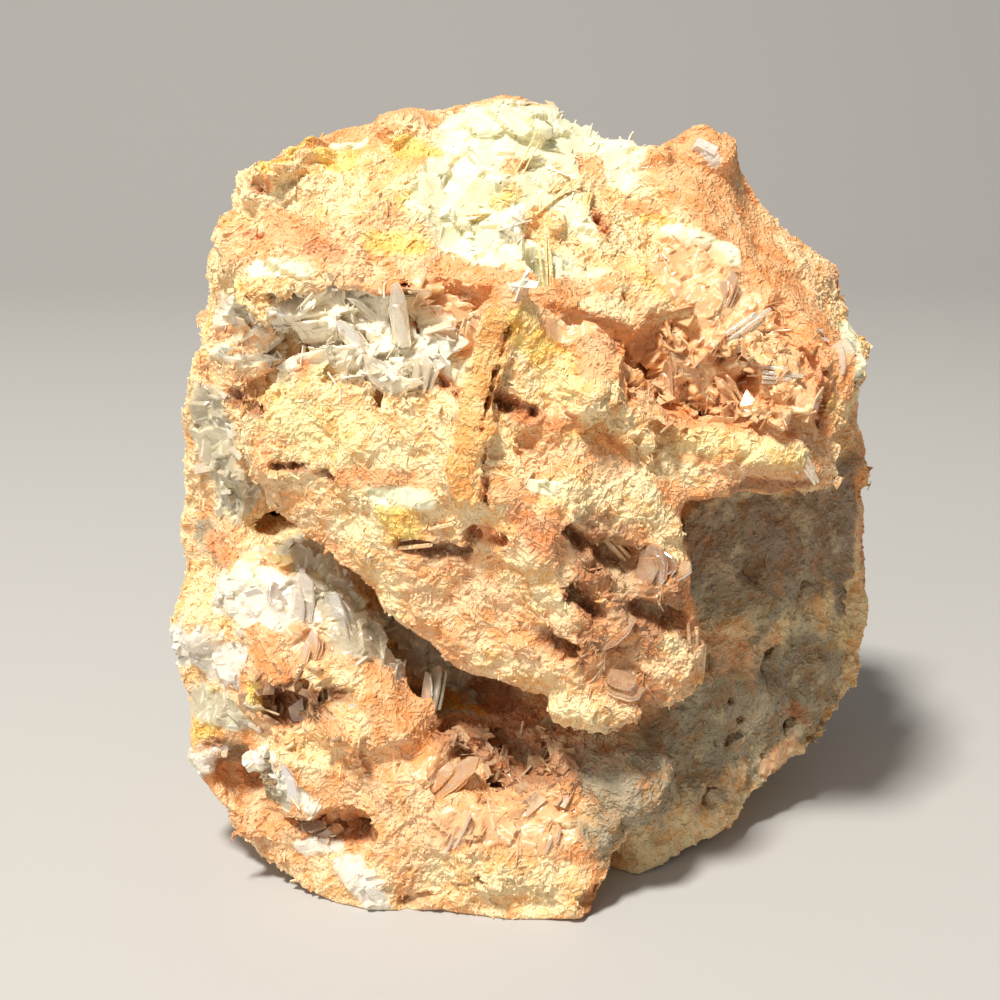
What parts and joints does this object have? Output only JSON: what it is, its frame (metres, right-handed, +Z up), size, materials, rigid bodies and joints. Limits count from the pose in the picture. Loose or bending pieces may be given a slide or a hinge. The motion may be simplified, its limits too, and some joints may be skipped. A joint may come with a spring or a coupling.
{
  "type": "barite cluster",
  "caption": "Rust-stained cluster of interlocking barite blades with an overhanging front wedge, pockets of clear blades and a flat resting cut.",
  "frame": {"origin": "middle of the bounding box, on the surface that the cluster rests on", "axes": "+Z up; the overhanging wedge faces -Y, towards the viewer; +X to the viewer's right"},
  "size_m": [0.0974, 0.0794, 0.1002],
  "materials": {
    "rusty_barite": "dry rust-orange, peach and pale yellow crystalline crust, rough and matte, with paler translucent stretches",
    "clear_barite": "clear greenish-white crystal, glossy flat faces",
    "honey_barite": "see-through honey-brown crystal, glossy flat faces"
  },
  "bodies": {
    "root": {"cluster": "rusty_barite", "left_pocket_crystals": "clear_barite", "right_pocket_crystals": "honey_barite", "shoulder_pocket_crystals": "honey_barite", "recess_crystals": "honey_barite"}
  },
  "joints": []
}
